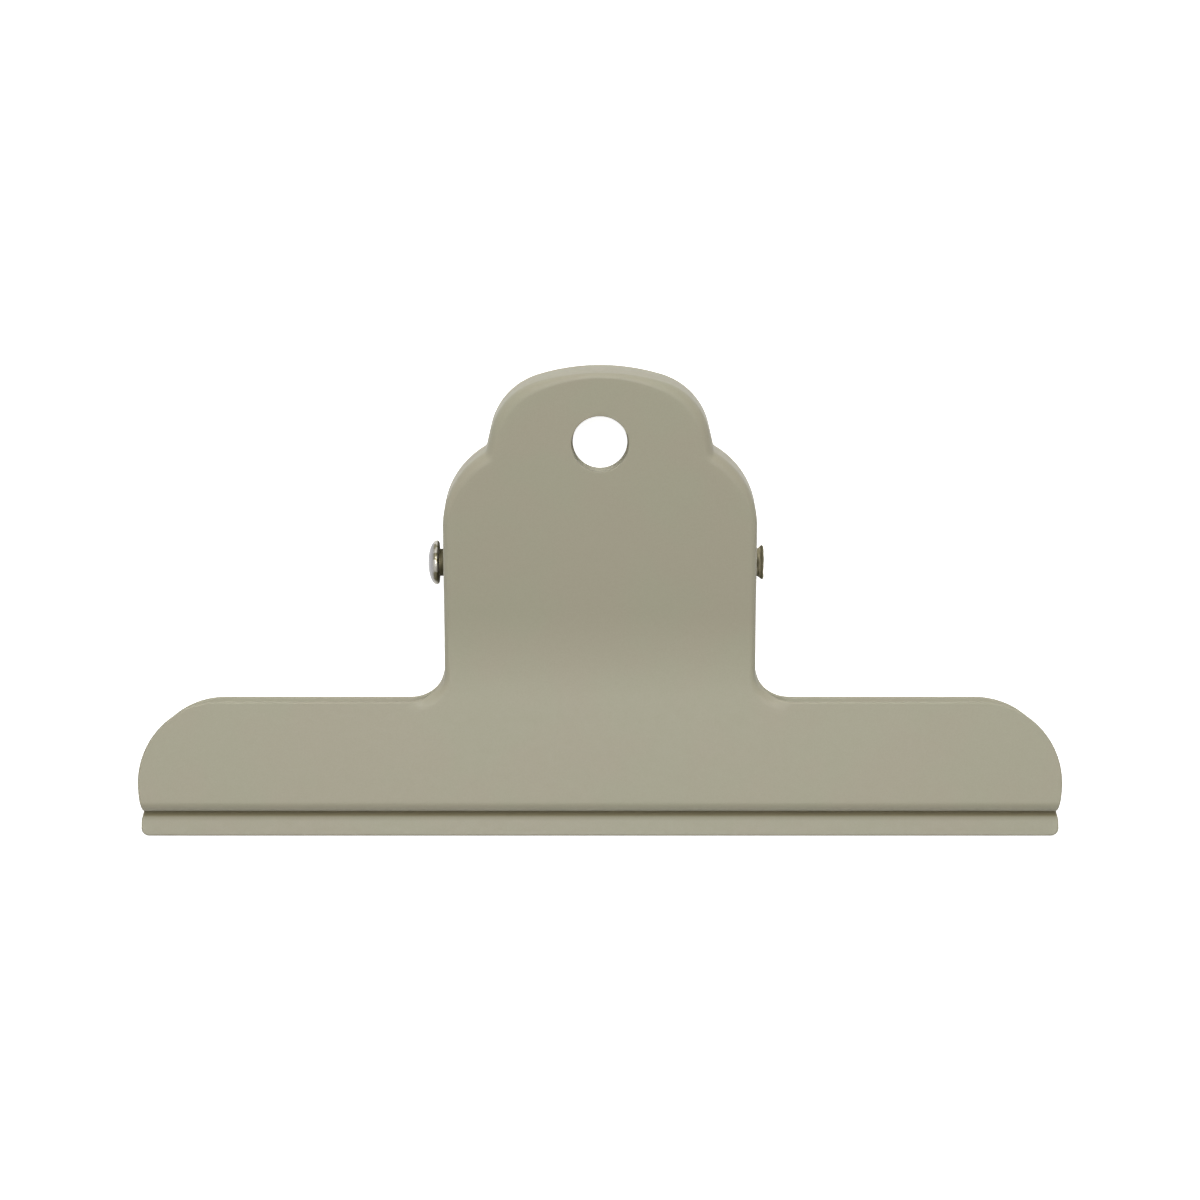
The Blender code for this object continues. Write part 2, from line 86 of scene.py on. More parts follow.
# Outline of the jaw
LIP_HALF_WIDTH = 77.8
LIP_CORNER_RADIUS = 1.3
JAW_HALF_WIDTH = 77.8
WIDEST_HEIGHT = 9.25
END_RADIUS = 13.8
END_LOWER_RADIUS = 18.0
FILLET_RADIUS = 6.4

# Outline of the neck and handle, with heights along the handle from the pivot
NECK_HALF_WIDTH = 26.1
LOBE_HEIGHT = 8.6
LOBE_RADIUS = 14.5
NOTCH_RADIUS = 0.9
SIDE_SLOPE = 12.8
HEAD_HALF_WIDTH = 18.45
CORNER_RADIUS = 11.5
TOP_RADIUS = 34.0
TOP_HEIGHT = 34.8
HANG_HOLE_HEIGHT = 22.9
HANG_HOLE_RADIUS = 4.72

# Flange round the neck and handle
FLANGE_DEPTH = 6.6
FLANGE_CLEARANCE = 0.3
NECK_FOLD_INSIDE = 0.3
LOBE_FOLD_INSIDE = 1.1
TOP_FOLD_INSIDE = 0.1
LOBE_FOLD_FADE = 11.7
TOP_FOLD_FADE = 17.5
PLAIN_RIM = 0.5
FLANGE_FADE = 10.0

# Ears
EAR_RADIUS = 4.6
EAR_FOOT = 7.5
EAR_STEP = 1.2
STEP_FLAT = 6.5
STEP_END = 11.0
EAR_HOLE_RADIUS = 2.6

# Rivet
SHANK_RADIUS = 2.3
HEAD_RADIUS = 3.7
HEAD_RIM = 0.5
HEAD_DOME = 1.4
HEAD_X = -27.1
FLARE_X = 26.4
FLARE_RADIUS = 2.95
FLARE_LENGTH = 0.95
TUBE_WALL = 0.55
TUBE_DEPTH = 6.0
RIM_ROUND = 0.42
FLARE_CURVE = 1.3
RIM_RAGGEDNESS = 0.07
# Waves of the ragged rim: share of its depth, number round it and start in radians
RIM_WAVES = ((0.45, 3.0, 0.6), (0.35, 5.0, 2.0), (0.2, 11.0, 1.1))
# Places along X between which one finish of the rivet passes into the next
CROWN_TO_RIM = (HEAD_X - 1.1, HEAD_X - 0.7)
RIM_TO_SHANK = (HEAD_X - 0.25, HEAD_X + 0.1)
FLARE_TO_MOUTH = (FLARE_X + 0.5, FLARE_X + 0.85)

# Torsion spring
WIRE_RADIUS = 0.9
COIL_RADIUS = 3.7
COIL_PITCH = 2.45
WHOLE_TURNS = 16
LEG_LENGTH = 18.3
LEG_CLEARANCE = 0.3
WIRE_CHAMFER = 0.2

# Sizes of the finishes' features: drift, peel and grain of the enamel, lines left by
# turning and drawing, patches of painted highlight on the rivet's rim, worn patches of
# the plating, and how high each stands.
# The real lines are under 0.1 apart, and are drawn as coarse as they need to show.
ENAMEL_DRIFT = 14.0
ORANGE_PEEL = 0.9
ENAMEL_GRAIN = 0.25
TURNING_LINES = 0.4
RIM_GLINT_PATCHES = 1.3
DRAWING_LINES = 0.5
WORN_PATCHES = 1.6
FINISH_RELIEF = 0.02

# Shares of that height that show: of the peel and of the lines
PEEL_SHARE = 0.25
LINE_SHARE = 0.3

# Squeeze of the pattern of lines in Y and Z, which draws them out round X
TURNED_SQUEEZE = (1.0, 0.12, 0.12)
DRAWN_SQUEEZE = (1.0, 0.3, 0.3)

# Spans of noise, which runs mostly from 0.3 to 0.7, over which a finish changes
NEARLY_ALL = (0.3, 0.7)
SHADES_SPAN = (0.42, 0.58)
STREAKS_SPAN = (0.35, 0.65)
GLINT_SPAN = (0.46, 0.54)
WEAR_SPAN = (0.45, 0.7)

# Roughness: from smooth to rough, or the least and what the lines add to it
ENAMEL_ROUGHNESS = (0.54, 0.62)
WIRE_ROUGHNESS = (0.24, 0.38)
HEAD_ROUGHNESS = 0.3
SHANK_ROUGHNESS = 0.6
LINE_ROUGHNESS = 0.3

# How much darker and lighter the grain makes the enamel
GRAIN_TONES = (0.975, 1.02)

# Painted shade in the crease, which darkens the enamel to a deeper olive there: how far
# off the skin its middle lies, and how far from there it is full and gone
SHADE_STAND_OFF = 0.8
SHADE_FULL = 1.03
SHADE_GONE = 1.33

# Colours as they look, and how much of white the floor gives of itself
ENAMEL_WARM = "#9e9985"
ENAMEL_GREEN = "#9d9a85"
# Painted shade: the colour the enamel darkens to in the crease
CREASE_SHADE_COLOUR = "#7a7256"
# Painted highlight, in patches on the rivet's rim
NICKEL_PAINTED_GLINT = "#a09d94"
NICKEL_GREY = "#828182"
# Brown: rim patches and shank streaks, painted shade on the rivet's mouth, the wire's worn patches
NICKEL_WEAR_AND_SHADE = "#6a6550"
# Painted dark reflection on the rivet's shank, passing to bronze at the flare
NICKEL_PAINTED_DARK = "#4e4a36"
NICKEL_BRONZE = "#d2caae"
PAPER = "#e8e8e8"
PAPER_GLOW = 0.93

# Light: each lamp's place and width in metres, and its watts
LAMPS = (
    ("lamp_overhead", (0.0, 0.065, 1.0), 0.25, 8.4),
    ("lamp_beyond_handles", (0.0, 1.0, 0.5), 0.9, 4.4),
    ("lamp_left", (-1.0, 0.1, 0.4), 0.8, 1.2),
    ("lamp_right", (1.0, 0.1, 0.4), 0.8, 0.5),
)

# Floor, in metres: how far it reaches each way and how far under the part it lies
FLOOR_REACH = 3.0
FLOOR_DROP = 0.00005

# Camera and its place over the jaw's plane
CAMERA_DISTANCE = 550.0
CAMERA_TILT = 3.7
TARGET_HEIGHT = 39.9
LENS = 97.55
SENSOR_WIDTH = 36.0

# Steps of the surfaces: in degrees on the arcs of the outline, else how many
ARC_STEP = 3.0
LIP_CORNER_STEP = 10.0
SIDE_STEPS = 8
EAR_STEPS = 48
BEND_STEPS = 16
FACE_STEPS = 22
FOLD_STEPS = 10
FLANGE_STEPS = 5
EDGE_STEPS = 3
RING_STEPS = 96
WIRE_RING_STEPS = 16
TURN_STEPS = 32
LEG_STEPS = 12
DOME_STEPS = 15
BRIM_STEPS = 9
FLARE_STEPS = 13
MOUTH_STEPS = 7
HOLE_STEPS = 7

# How far below the handle's top the fan of rows ends, how far a hole's edge turns in
# degrees, and how near two points are merged
FAN_END = 6.0
HOLE_TURN = 84.0
MERGE = 0.002

# Angles in degrees from which an edge is shaded sharp
SHEET_SHARP = 50.0
WIRE_SHARP = 40.0

# Stretches of the side profile from the lip up: length, and turn in degrees
PROFILE_STRETCHES = (
    (LIP_LENGTH, 0.0),
    (CREASE_RADIUS * math.radians(LIP_LEAN + CREASE_SLOPE), LIP_LEAN + CREASE_SLOPE),
    (CREASE_STRAIGHT, 0.0),
    (BELLY_RADIUS * math.radians(CREASE_SLOPE), -CREASE_SLOPE),
    (BODY_LENGTH, 0.0),
    (NECK_BEND_RADIUS * math.radians(HANDLE_TILT), HANDLE_TILT),
    (TOP_HEIGHT, 0.0),
)


def side_profile():
    """Start length, height, distance, heading and curvature of each stretch.

    Each stretch is a straight or an arc: its chord is its length times the sine
    of half its turn over half its turn, laid along its middle heading.
    """
    lengths = np.array([length for length, _ in PROFILE_STRETCHES])
    turns = np.radians([turn for _, turn in PROFILE_STRETCHES])
    lean = math.radians(LIP_LEAN)
    heading = np.cumsum(np.concatenate(([-lean], turns[:-1])))
    chord = lengths * np.sinc(turns / (2.0 * np.pi))
    middle = heading + turns / 2.0
    nearest = JAW_CLEARANCE / 2.0 + SHEET
    lip_edge = nearest + LIP_LENGTH * math.sin(lean) + CREASE_RADIUS * (1.0 - math.cos(lean))
    start = np.cumsum(np.concatenate(([0.0], lengths[:-1])))
    height = np.cumsum(np.concatenate(([0.0], (chord * np.cos(middle))[:-1])))
    distance = np.cumsum(np.concatenate(([lip_edge], (chord * np.sin(middle))[:-1])))
    return start, height, distance, heading, turns / lengths


STARTS, HEIGHTS, DISTANCES, HEADINGS, CURVATURES = side_profile()


def skin(s):
    """Height, distance and heading of the outer skin at the length s."""
    i = np.clip(np.searchsorted(STARTS, s, side="right") - 1, 0, len(STARTS) - 1)
    run = s - STARTS[i]
    half_turn = CURVATURES[i] * run / 2.0
    chord = run * np.sinc(half_turn / np.pi)
    middle = HEADINGS[i] + half_turn
    height = HEIGHTS[i] + chord * np.cos(middle)
    distance = DISTANCES[i] + chord * np.sin(middle)
    return height, distance, HEADINGS[i] + 2.0 * half_turn


def formed(x, s, depth):
    """Bent place of a blank's point: the skin's place at s, less depth along its normal."""
    height, distance, heading = skin(s)
    u = height + depth * np.sin(heading)
    w = distance - depth * np.cos(heading)
    return np.stack((x, u, w), axis=-1)


# Places along the blank that follow from the sizes
TILT = math.radians(HANDLE_TILT)
NECK_FOLD_RADIUS = SHEET + NECK_FOLD_INSIDE
LOBE_FOLD_RADIUS = SHEET + LOBE_FOLD_INSIDE
TOP_FOLD_RADIUS = SHEET + TOP_FOLD_INSIDE
LIP_TOP_S = STARTS[1]
SLOPE_S = STARTS[2]
BELLY_S = STARTS[3]
BODY_S = STARTS[4]
WIDEST_S = BODY_S + WIDEST_HEIGHT - HEIGHTS[4]
SHOULDER_S = WIDEST_S + END_RADIUS
NECK_S = SHOULDER_S + FILLET_RADIUS
PIVOT_RISE = PIVOT_HEIGHT - HEIGHTS[6]
PIVOT_S = STARTS[6] + PIVOT_RISE * math.cos(TILT) - DISTANCES[6] * math.sin(TILT)
PIVOT_DEPTH = PIVOT_RISE * math.sin(TILT) + DISTANCES[6] * math.cos(TILT)
LOBE_S = PIVOT_S + LOBE_HEIGHT
HOLE_S = PIVOT_S + HANG_HOLE_HEIGHT
TOP_S = PIVOT_S + TOP_HEIGHT


def rest_turn():
    """Turn about X that lays the belly and the handle's end bend on one level."""
    belly = np.array((HEIGHTS[4], BELLY_RADIUS - DISTANCES[4]))
    top = formed(np.array(0.0), np.array(TOP_S - TOP_FOLD_RADIUS), np.array(TOP_FOLD_RADIUS))
    apart = np.array((top[1], -top[2])) - belly
    rise = BELLY_RADIUS - TOP_FOLD_RADIUS
    return math.asin(-rise / math.hypot(*apart)) + math.atan2(-apart[1], apart[0])


REST_TURN = rest_turn()


def laid_down(points, pivot):
    """Points round the pivot, in millimetres, turned to rest and placed in metres."""
    turn = np.array(Matrix.Rotation(REST_TURN, 3, "X"))
    return points @ turn.T * MM + np.array(pivot)


def smooth(t):
    """Ease from 0 to 1 with level ends: three t squared less two t cubed."""
    t = np.clip(t, 0.0, 1.0)
    return t * t * (3.0 - 2.0 * t)


def arc(centre, radius, first, last, step=ARC_STEP, hollow=False):
    """Points on an arc of the outline and the directions out of the sheet there."""
    steps = math.ceil(abs(last - first) / step)
    angles = np.radians(np.linspace(first, last, steps + 1))
    out = np.stack((np.cos(angles), np.sin(angles)), axis=1)
    points = np.asarray(centre) + radius * out
    return points, -out if hollow else out


def straight(start, end):
    """Points on a straight edge and the direction out of the sheet, to its right."""
    along = np.linspace(start, end, SIDE_STEPS + 1)
    way = (np.asarray(end) - np.asarray(start)) / math.dist(start, end)
    out = np.tile((way[1], -way[0]), (SIDE_STEPS + 1, 1))
    return along, out


def join(stretches):
    """Joined stretches of outline, each without its first point after the first."""
    points = [stretches[0][0]] + [p[1:] for p, _ in stretches[1:]]
    outs = [stretches[0][1]] + [o[1:] for _, o in stretches[1:]]
    return np.concatenate(points), np.concatenate(outs)


def crossing(start, way, centre, radius, side):
    """Where a line from start, along way, enters (side -1) or leaves (1) a circle."""
    gap = start - centre
    along = gap @ way
    reach = math.sqrt(along * along - gap @ gap + radius * radius)
    return start + (side * reach - along) * way


def jaw_end():
    """Outline of the jaw's end from the lip's edge to its widest point.

    The width follows a circle below the widest point, and eases from it to the
    lip's own width down the crease.
    """
    corner = (LIP_HALF_WIDTH - LIP_CORNER_RADIUS, LIP_CORNER_RADIUS)
    points, outs = arc(corner, LIP_CORNER_RADIUS, -90.0, 0.0, LIP_CORNER_STEP)
    lengths = np.concatenate((
        [LIP_TOP_S],
        np.linspace(LIP_TOP_S, SLOPE_S, BEND_STEPS + 1)[1:],
        np.linspace(BELLY_S, BODY_S, BEND_STEPS + 1),
        np.linspace(BODY_S, WIDEST_S, SIDE_STEPS + 1)[1:],
    ))
    heights = skin(lengths)[0]
    drop = np.maximum(WIDEST_HEIGHT - heights, 0.0)
    bowed = JAW_HALF_WIDTH - END_LOWER_RADIUS + np.sqrt(END_LOWER_RADIUS ** 2 - drop ** 2)
    share = smooth((lengths - LIP_TOP_S) / (SLOPE_S - LIP_TOP_S))
    widths = LIP_HALF_WIDTH + (bowed - LIP_HALF_WIDTH) * share
    side = np.stack((widths, lengths), axis=1)
    out = np.tile((1.0, 0.0), (len(side), 1))
    return np.concatenate((points, side)), np.concatenate((outs, out))


def shoulder():
    """Outline from the jaw's widest point over the shoulder to the neck."""
    end_centre = (JAW_HALF_WIDTH - END_RADIUS, WIDEST_S)
    fillet_centre = (NECK_HALF_WIDTH + FILLET_RADIUS, NECK_S)
    return join((
        arc(end_centre, END_RADIUS, 0.0, 90.0),
        straight((end_centre[0], SHOULDER_S), (fillet_centre[0], SHOULDER_S)),
        arc(fillet_centre, FILLET_RADIUS, 270.0, 180.0, hollow=True),
    ))


def neck():
    """Straight side of the neck, with close rows where the ear rises."""
    below = np.linspace(NECK_S, PIVOT_S - EAR_FOOT, SIDE_STEPS + 1)
    ear = np.linspace(PIVOT_S - EAR_FOOT, PIVOT_S + EAR_FOOT, EAR_STEPS + 1)[1:]
    above = np.linspace(PIVOT_S + EAR_FOOT, LOBE_S, SIDE_STEPS + 1)[1:]
    lengths = np.concatenate((below, ear, above))
    points = np.stack((np.full(len(lengths), NECK_HALF_WIDTH), lengths), axis=1)
    return points, np.tile((1.0, 0.0), (len(points), 1))


def handle():
    """Outline of the lobe, notch, slanted side, corner and top of the handle.

    Arcs that touch their neighbours: the notch lies outside the lobe's circle and
    the side's line, and the corner inside the side's line and the top's circle.
    """
    slope = math.radians(SIDE_SLOPE)
    side_out = np.array((math.cos(slope), math.sin(slope)))
    down = np.array((math.sin(slope), -math.cos(slope)))
    on_side = np.array((HEAD_HALF_WIDTH, HOLE_S))
    lobe_centre = np.array((NECK_HALF_WIDTH - LOBE_RADIUS, LOBE_S))
    top_centre = np.array((0.0, TOP_S - TOP_RADIUS))
    notch_centre = crossing(on_side + NOTCH_RADIUS * side_out, down, lobe_centre,
                            LOBE_RADIUS + NOTCH_RADIUS, -1.0)
    corner_centre = crossing(on_side - CORNER_RADIUS * side_out, -down, top_centre,
                             TOP_RADIUS - CORNER_RADIUS, 1.0)
    notch_angle = math.degrees(math.atan2(*(notch_centre - lobe_centre)[::-1]))
    top_angle = math.degrees(math.atan2(*(corner_centre - top_centre)[::-1]))
    notch_end = notch_centre - NOTCH_RADIUS * side_out
    corner_start = corner_centre + CORNER_RADIUS * side_out
    return join((
        arc(lobe_centre, LOBE_RADIUS, 0.0, notch_angle),
        arc(notch_centre, NOTCH_RADIUS, notch_angle + 180.0, SIDE_SLOPE + 180.0, hollow=True),
        straight(notch_end, corner_start),
        arc(corner_centre, CORNER_RADIUS, SIDE_SLOPE, top_angle),
        arc(top_centre, TOP_RADIUS, top_angle, 90.0),
    ))


def path_run(points):
    """Length run along a row of points up to each of them."""
    steps = np.linalg.norm(np.diff(points, axis=0), axis=1)
    return np.concatenate(([0.0], np.cumsum(steps)))


def flange_depth(s):
    """Depth of the flange below the outer skin, with the ear's raised-cosine rise."""
    _, distance, heading = skin(s)
    free = (distance - FLANGE_CLEARANCE) / np.cos(heading)
    plain = np.minimum(FLANGE_DEPTH, free)
    reach = np.clip((s - PIVOT_S) / EAR_FOOT, -1.0, 1.0)
    rise = PIVOT_DEPTH + EAR_RADIUS - FLANGE_DEPTH
    return plain + rise * (1.0 + np.cos(np.pi * reach)) / 2.0


def plate_rows():
    """Rows of the half blank: edge point, ways out, centre point, fold and flange.

    The fold turns from flat to square round the fillet below the neck, and the
    flange grows to its full depth up the neck.  The rows run level over the lip,
    the belly and the neck, and fan out over the shoulder and the handle's head.
    """
    parts = (jaw_end(), shoulder(), neck(), handle())
    points, outs = join(parts)
    counts = [len(p) for p, _ in parts]
    jaw_last = counts[0] - 1
    neck_first = jaw_last + counts[1] - 1
    neck_last = neck_first + counts[2] - 1

    run = path_run(points)
    fold_first = run[neck_first] - FILLET_RADIUS * math.pi / 2.0
    angle = smooth((run - fold_first) / (run[neck_first] - fold_first)) * math.pi / 2.0
    opened = smooth((run - run[neck_last]) / LOBE_FOLD_FADE)
    radius = NECK_FOLD_RADIUS + (LOBE_FOLD_RADIUS - NECK_FOLD_RADIUS) * opened
    closed = 1.0 - smooth((run[-1] - run) / TOP_FOLD_FADE)
    radius += (TOP_FOLD_RADIUS - radius) * closed
    grown = smooth((run - fold_first - FILLET_RADIUS / 2.0) / FLANGE_FADE)
    flat = PLAIN_RIM + (flange_depth(points[:, 1]) - radius - PLAIN_RIM) * grown
    flat[neck_last:] = FLANGE_DEPTH - radius[neck_last:]

    points = points - EDGE_ROUND * np.cos(angle)[:, None] * outs
    flat = flat - EDGE_ROUND * np.sin(angle)
    strip = NECK_FOLD_RADIUS * math.pi / 2.0 + PLAIN_RIM
    centres = np.interp(
        run,
        (run[jaw_last], fold_first, run[neck_first]),
        (WIDEST_S, SHOULDER_S - strip, NECK_S),
    )
    centres[:jaw_last] = points[:jaw_last, 1]
    centres[neck_first:neck_last] = points[neck_first:neck_last, 1]
    head = run[neck_last:] - run[neck_last]
    centres[neck_last:] = LOBE_S + (TOP_S - FAN_END - LOBE_S) * head / head[-1]
    middle = np.stack((np.zeros(len(points)), centres), axis=1)
    ways = outs.copy()
    ways[:jaw_last] = (1.0, 0.0)
    return points, outs, ways, middle, angle, radius * math.pi / 2.0, flat


def edge_round():
    """How far out and how deep the cut edge's steps lie: a quarter circle from each skin."""
    turn = np.linspace(0.0, math.pi / 2.0, EDGE_STEPS + 1)
    out = np.concatenate((np.sin(turn), np.cos(turn)))
    deep = np.concatenate((EDGE_ROUND * (1.0 - np.cos(turn)),
                           SHEET - EDGE_ROUND + EDGE_ROUND * np.sin(turn)))
    return EDGE_ROUND * out, deep


def half_blank():
    """Closed cross-sections of the half blank, and the rounded strip of its lip.

    Across: an even run from the centre line to the fold, the fold's arc, the flat
    flange, the rounded cut edge, and the same back at the sheet's depth.
    """
    points, outs, ways, middle, angle, curl, flat = plate_rows()
    turn = np.linspace(0.0, 1.0, FOLD_STEPS + 1)[:, None]
    fold = turn * angle
    chord = turn * curl * np.sinc(fold / (2.0 * np.pi))
    out = chord * np.cos(fold / 2.0)
    down = chord * np.sin(fold / 2.0)
    reach = np.linspace(0.0, 1.0, FLANGE_STEPS + 1)[1:, None] * flat
    out = np.concatenate((out, out[-1] + reach * np.cos(angle)))
    down = np.concatenate((down, down[-1] + reach * np.sin(angle)))
    fold = np.concatenate((fold, np.tile(angle, (FLANGE_STEPS, 1))))
    out -= out[-1]
    spread = np.linspace(0.0, 1.0, FACE_STEPS + 1)[:-1, None, None]

    def sheet_skin(inset):
        """The skin at a depth in the sheet: an even face, then the fold and the flange."""
        rim_out = out - inset * np.sin(fold)
        rim = points + rim_out[:, :, None] * ways
        face = middle + (rim[0] - middle) * spread
        depth = np.concatenate((np.full((FACE_STEPS, len(points)), inset),
                                down + inset * np.cos(fold)))
        return np.dstack((np.concatenate((face, rim)), depth))

    outer = sheet_skin(0.0)
    inner = sheet_skin(SHEET)
    edge_out, edge_deep = edge_round()
    edge_out = edge_out[1:-1, None]
    edge_deep = edge_deep[1:-1, None]
    edge_flat = (points + (edge_out * np.cos(angle))[:, :, None] * outs
                 - (edge_deep * np.sin(angle))[:, :, None] * ways)
    edge_depth = down[-1] + edge_out * np.sin(angle) + edge_deep * np.cos(angle)
    edge = np.dstack((edge_flat, edge_depth))
    section = np.concatenate((outer, edge, inner[::-1]))

    lip_out, lip_deep = edge_round()
    lip = np.repeat(outer[None, :, 0, :], len(lip_out), axis=0)
    lip[:, :, 1] -= lip_out[:, None]
    lip[:, :, 2] += lip_deep[:, None]
    return section, lip


def rear_step(x, s):
    """Place across the rear plate, drawn in at its ears to pass inside the front ears.

    The neck's side moves in by an inset that eases to nothing away from the pivot,
    and all between it and the middle in proportion.
    """
    away = np.abs(s - PIVOT_S)
    inset = EAR_STEP * smooth((STEP_END - away) / (STEP_END - STEP_FLAT))
    return x * (1.0 - inset / NECK_HALF_WIDTH)


def grid_faces(rows, columns, first=0):
    """Quads between the neighbouring rows and columns of a grid of numbered points."""
    index = first + np.arange(rows * columns).reshape(rows, columns)
    corners = (index[:-1, :-1], index[1:, :-1], index[1:, 1:], index[:-1, 1:])
    return np.stack(corners, axis=-1).reshape(-1, 4)


def surface_mesh(name, grids):
    """One mesh of several grids of points, merged where they meet, facing outwards."""
    points = []
    faces = []
    first = 0
    for grid in grids:
        points.append(grid.reshape(-1, 3))
        faces.append(grid_faces(grid.shape[0], grid.shape[1], first))
        first += grid.shape[0] * grid.shape[1]
    mesh = bpy.data.meshes.new(name)
    mesh.from_pydata(np.concatenate(points).tolist(), [], np.concatenate(faces).tolist())
    shape = bmesh.new()
    shape.from_mesh(mesh)
    bmesh.ops.remove_doubles(shape, verts=shape.verts, dist=MERGE * MM)
    bmesh.ops.recalc_face_normals(shape, faces=shape.faces)
    shape.to_mesh(mesh)
    shape.free()
    mesh.shade_smooth()
    return mesh


def show(name, mesh, material):
    """A new object of one material in the scene."""
    piece = bpy.data.objects.new(name, mesh)
    bpy.context.scene.collection.objects.link(piece)
    mesh.materials.clear()
    mesh.materials.append(material)
    return piece


def lathe(profile, steps=RING_STEPS):
    """Grid of a profile of (x, radius) carried round the X axis."""
    angles = np.linspace(0.0, 2.0 * np.pi, steps + 1)
    x, radius = np.asarray(profile).T
    around = np.stack((np.cos(angles), np.sin(angles)), axis=1)
    rings = radius[:, None, None] * around
    return np.dstack((np.repeat(x[:, None], steps + 1, axis=1), rings))


def hole_profile():
    """Profile of a hanging hole's cutter: a straight bore that opens round at both skins."""
    turn = np.linspace(0.0, math.radians(HOLE_TURN), HOLE_STEPS + 1)
    flare = HOLE_ROUND * (1.0 - np.cos(turn))
    depth = SHEET / 2.0 - HOLE_ROUND + HOLE_ROUND * np.sin(turn)
    radius = HANG_HOLE_RADIUS + flare
    past = SHEET
    x = np.concatenate(([past, past], depth[::-1], -depth, [-past, -past]))
    r = np.concatenate(([0.0, radius[-1] + past], radius[::-1], radius, [radius[-1] + past, 0.0]))
    return np.stack((x, r), axis=1)


def hole_cutters(name, side, material, pivot):
    """Solids that bore a plate's hanging hole and its two ear holes."""
    centre = formed(np.array(0.0), np.array(HOLE_S), np.array(SHEET / 2.0))
    centre = (centre - (0.0, PIVOT_HEIGHT, 0.0)) * (1.0, 1.0, side)
    bore = lathe(hole_profile())
    upright = np.stack((bore[..., 1], bore[..., 2], bore[..., 0]), axis=-1)
    lean = np.array(Matrix.Rotation(side * TILT, 3, "X"))
    hanging = surface_mesh("hole", [laid_down(upright @ lean.T + centre, pivot)])
    past = 1.2 * NECK_HALF_WIDTH
    ear = lathe(((-past, 0.0), (-past, EAR_HOLE_RADIUS), (past, EAR_HOLE_RADIUS), (past, 0.0)))
    through_ears = surface_mesh("hole", [laid_down(ear, pivot)])
    return [
        show(name + "_hang_hole", hanging, material),
        show(name + "_ear_holes", through_ears, material),
    ]


def bored(piece, cutters):
    """A piece's own mesh less the cutters, which are removed."""
    for cutter in cutters:
        cut = piece.modifiers.new("Hole", "BOOLEAN")
        cut.operation = "DIFFERENCE"
        cut.solver = "EXACT"
        cut.object = cutter
    graph = bpy.context.evaluated_depsgraph_get()
    mesh = bpy.data.meshes.new_from_object(piece.evaluated_get(graph))
    piece.modifiers.clear()
    for cutter in cutters:
        bpy.data.objects.remove(cutter)
    return mesh


def plate(name, side, material, pivot):
    """A pressed plate with its holes; side is 1 in front and -1 behind.

    The half blank is bent and mirrored across the middle, and the holes are bored.
    """
    grids = []
    for blank in half_blank():
        x, s, depth = np.moveaxis(blank, -1, 0)
        if side < 0:
            x = rear_step(x, s)
        half = (formed(x, s, depth) - (0.0, PIVOT_HEIGHT, 0.0)) * (1.0, 1.0, side)
        grids += [half, half * (-1.0, 1.0, 1.0)]
    mesh = surface_mesh(name, [laid_down(g, pivot) for g in grids])
    piece = show(name, mesh, material)
    piece.data = bored(piece, hole_cutters(name, side, material, pivot))
    piece.data.name = name
    piece.data.shade_smooth()
    piece.data.set_sharp_from_angle(angle=math.radians(SHEET_SHARP))
    even = piece.modifiers.new("Flat faces stay flat", "WEIGHTED_NORMAL")
    even.keep_sharp = True
    return piece


def rivet_profile():
    """Profile of (x, radius) over the domed head, the shank and the flare, into the tube.

    The dome is a quarter ellipse, the head's brim a quarter circle, and the tube
    swells with a power of the way along its flare and turns in by a half circle.
    """
    end_x = FLARE_X + FLARE_LENGTH
    bore = SHANK_RADIUS - TUBE_WALL
    turn = np.linspace(0.0, math.pi / 2.0, DOME_STEPS + 1)
    quarter = np.linspace(0.0, math.pi / 2.0, BRIM_STEPS + 1)
    dome = np.stack((HEAD_X - HEAD_RIM - HEAD_DOME * np.cos(turn),
                     HEAD_RADIUS * np.sin(turn)), axis=1)
    brim = np.stack((HEAD_X - RIM_ROUND + RIM_ROUND * np.sin(quarter),
                     HEAD_RADIUS - RIM_ROUND + RIM_ROUND * np.cos(quarter)), axis=1)
    share = np.linspace(0.0, 1.0, FLARE_STEPS + 1)
    flare = np.stack((FLARE_X + FLARE_LENGTH * share,
                      SHANK_RADIUS + (FLARE_RADIUS - SHANK_RADIUS) * share ** FLARE_CURVE),
                     axis=1)
    around = np.linspace(math.pi / 2.0, -math.pi / 2.0, MOUTH_STEPS + 1)[1:-1]
    lip_radius = FLARE_RADIUS - TUBE_WALL / 2.0
    lip = np.stack((end_x + 0.5 * TUBE_WALL * np.cos(around),
                    lip_radius + 0.5 * TUBE_WALL * np.sin(around)), axis=1)
    mouth = flare[::-1] - (0.0, TUBE_WALL)
    blind = np.array(((end_x - TUBE_DEPTH, bore), (end_x - TUBE_DEPTH - bore / 2.0, 0.0)))
    shank = np.array(((HEAD_X, SHANK_RADIUS), (FLARE_X - 1.0, SHANK_RADIUS)))
    return np.concatenate((dome, brim, shank, flare, lip, mouth, blind))


def rivet(material, pivot):
    """The rivet: a domed head, a shank, and a blind tube flared to a ragged rim.

    Its profile is carried round X, and the rim is then moved along X and inwards by
    a sum of cosines of the angle.
    """
    grid = lathe(rivet_profile())
    x = grid[..., 0]
    angle = np.linspace(0.0, 2.0 * np.pi, grid.shape[1])
    ragged = sum(part * np.cos(waves * angle + start) for part, waves, start in RIM_WAVES)
    share = smooth((x - FLARE_X) / FLARE_LENGTH)
    grid[..., 0] = x - RIM_RAGGEDNESS * share * (1.0 + ragged)
    swell = 1.0 + RIM_RAGGEDNESS / FLARE_RADIUS * share * (ragged - 1.0) / 2.0
    grid[..., 1:] *= swell[..., None]
    mesh = surface_mesh("pivot_rivet_finished", [laid_down(grid, pivot)])
    mesh.set_sharp_from_angle(angle=math.radians(SHEET_SHARP))
    return show("pivot_rivet_finished", mesh, material)


